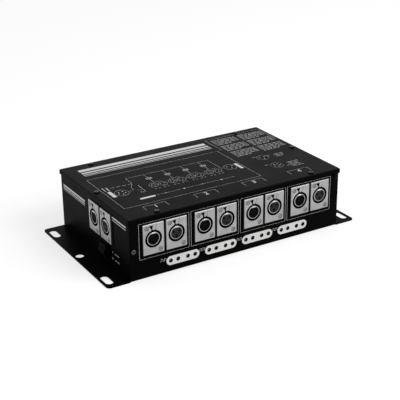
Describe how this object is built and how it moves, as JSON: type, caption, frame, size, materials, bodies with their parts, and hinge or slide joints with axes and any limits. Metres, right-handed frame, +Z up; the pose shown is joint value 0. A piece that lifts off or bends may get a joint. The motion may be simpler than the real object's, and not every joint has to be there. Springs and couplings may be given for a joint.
{
  "type": "dmx splitter",
  "caption": "Flat black steel case with mounting ears, a screwed lid, paired round signal sockets with push latches, status lamps, rocker switches and a fused mains inlet.",
  "frame": {"origin": "centre of the underside of the case floor, midway between the ears", "axes": "+X along the case to the right, -Y out of the front with the paired outputs, +Z up"},
  "size_m": [0.326, 0.1727, 0.0738],
  "materials": {
    "lid_paint": "fine textured black powder coat with white screen print",
    "case_paint": "fine textured black powder coat with white screen print",
    "black_screw": "black oxide steel",
    "connector_plate": "satin nickel plated",
    "insert_black": "moulded black contact carrier",
    "insert_grey": "moulded dark grey contact carrier",
    "pin_insert": "moulded carrier with plated pins",
    "switch_plastic": "polished black moulding",
    "inlet_plastic": "moulded black with nickel plated blades",
    "fuse": "glass tube with plated end caps",
    "board": "green glass epoxy board with soldered parts",
    "lamp_block": "black lamp holder with clear lamps",
    "heatsink": "extruded and anodised",
    "transformer_core": "varnished steel laminations"
  },
  "bodies": {
    "case": {"base_tray": "case_paint", "left_end_panel": "case_paint", "right_end_panel": "case_paint", "lid": "lid_paint", "lid_screw_front_left": "black_screw", "lid_screw_front_right": "black_screw", "lid_screw_back_left": "black_screw", "lid_screw_back_right": "black_screw", "lid_screw_left": "black_screw", "lid_screw_right": "black_screw", "wall_screw_left": "black_screw", "wall_screw_right": "black_screw", "output_1_five_pin_housing": "connector_plate", "output_1_three_pin_housing": "connector_plate", "output_2_five_pin_housing": "connector_plate", "output_2_three_pin_housing": "connector_plate", "output_3_five_pin_housing": "connector_plate", "output_3_three_pin_housing": "connector_plate", "output_4_five_pin_housing": "connector_plate", "output_4_three_pin_housing": "connector_plate", "link_five_pin_housing": "connector_plate", "link_three_pin_housing": "connector_plate", "output_1_five_pin_insert": "insert_black", "output_1_three_pin_insert": "insert_grey", "output_2_five_pin_insert": "insert_black", "output_2_three_pin_insert": "insert_grey", "output_3_five_pin_insert": "insert_black", "output_3_three_pin_insert": "insert_grey", "output_4_five_pin_insert": "insert_black", "output_4_three_pin_insert": "insert_grey", "link_five_pin_insert": "insert_black", "link_three_pin_insert": "insert_grey", "input_three_pin_housing": "connector_plate", "input_five_pin_housing": "connector_plate", "input_three_pin_insert": "pin_insert", "input_five_pin_insert": "pin_insert", "termination_switch_frame": "switch_plastic", "power_switch_frame": "switch_plastic", "mains_inlet": "inlet_plastic", "main_board": "board", "lamp_block_1": "lamp_block", "lamp_block_2": "lamp_block", "lamp_block_3": "lamp_block", "lamp_block_4": "lamp_block", "regulator_heatsink": "heatsink", "transformer": "transformer_core"},
    "output_1_five_pin_latch": {"output_1_five_pin_latch": "connector_plate"},
    "output_1_three_pin_latch": {"output_1_three_pin_latch": "connector_plate"},
    "output_2_five_pin_latch": {"output_2_five_pin_latch": "connector_plate"},
    "output_2_three_pin_latch": {"output_2_three_pin_latch": "connector_plate"},
    "output_3_five_pin_latch": {"output_3_five_pin_latch": "connector_plate"},
    "output_3_three_pin_latch": {"output_3_three_pin_latch": "connector_plate"},
    "output_4_five_pin_latch": {"output_4_five_pin_latch": "connector_plate"},
    "output_4_three_pin_latch": {"output_4_three_pin_latch": "connector_plate"},
    "link_five_pin_latch": {"link_five_pin_latch": "connector_plate"},
    "link_three_pin_latch": {"link_three_pin_latch": "connector_plate"},
    "termination_rocker": {"termination_switch_rocker": "switch_plastic"},
    "power_rocker": {"power_switch_rocker": "switch_plastic"},
    "fuse_drawer": {"fuse_drawer": "inlet_plastic", "mains_fuse": "fuse"}
  },
  "joints": [
    {"name": "output_1_five_pin_push", "type": "slide", "parent": "case", "child": "output_1_five_pin_latch", "axis": [0, 1, 0], "range_m": [0, 0.0015], "stiffness_N_per_m": 1200, "springref_m": -0.0008},
    {"name": "output_1_three_pin_push", "type": "slide", "parent": "case", "child": "output_1_three_pin_latch", "axis": [0, 1, 0], "range_m": [0, 0.0015], "stiffness_N_per_m": 1200, "springref_m": -0.0008},
    {"name": "output_2_five_pin_push", "type": "slide", "parent": "case", "child": "output_2_five_pin_latch", "axis": [0, 1, 0], "range_m": [0, 0.0015], "stiffness_N_per_m": 1200, "springref_m": -0.0008},
    {"name": "output_2_three_pin_push", "type": "slide", "parent": "case", "child": "output_2_three_pin_latch", "axis": [0, 1, 0], "range_m": [0, 0.0015], "stiffness_N_per_m": 1200, "springref_m": -0.0008},
    {"name": "output_3_five_pin_push", "type": "slide", "parent": "case", "child": "output_3_five_pin_latch", "axis": [0, 1, 0], "range_m": [0, 0.0015], "stiffness_N_per_m": 1200, "springref_m": -0.0008},
    {"name": "output_3_three_pin_push", "type": "slide", "parent": "case", "child": "output_3_three_pin_latch", "axis": [0, 1, 0], "range_m": [0, 0.0015], "stiffness_N_per_m": 1200, "springref_m": -0.0008},
    {"name": "output_4_five_pin_push", "type": "slide", "parent": "case", "child": "output_4_five_pin_latch", "axis": [0, 1, 0], "range_m": [0, 0.0015], "stiffness_N_per_m": 1200, "springref_m": -0.0008},
    {"name": "output_4_three_pin_push", "type": "slide", "parent": "case", "child": "output_4_three_pin_latch", "axis": [0, 1, 0], "range_m": [0, 0.0015], "stiffness_N_per_m": 1200, "springref_m": -0.0008},
    {"name": "link_five_pin_push", "type": "slide", "parent": "case", "child": "link_five_pin_latch", "axis": [1, 0, 0], "range_m": [0, 0.0015], "stiffness_N_per_m": 1200, "springref_m": -0.0008},
    {"name": "link_three_pin_push", "type": "slide", "parent": "case", "child": "link_three_pin_latch", "axis": [1, 0, 0], "range_m": [0, 0.0015], "stiffness_N_per_m": 1200, "springref_m": -0.0008},
    {"name": "termination_rock", "type": "hinge", "parent": "case", "child": "termination_rocker", "pos_m": [-0.1352, -0.0284, 0.0161], "axis": [0, 1, 0], "range_deg": [0, 18]},
    {"name": "power_rock", "type": "hinge", "parent": "case", "child": "power_rocker", "pos_m": [0.1352, 0.008, 0.0161], "axis": [0, -1, 0], "range_deg": [0, 18]},
    {"name": "fuse_drawer_slide", "type": "slide", "parent": "case", "child": "fuse_drawer", "axis": [1, 0, 0], "range_m": [0, 0.016]}
  ]
}
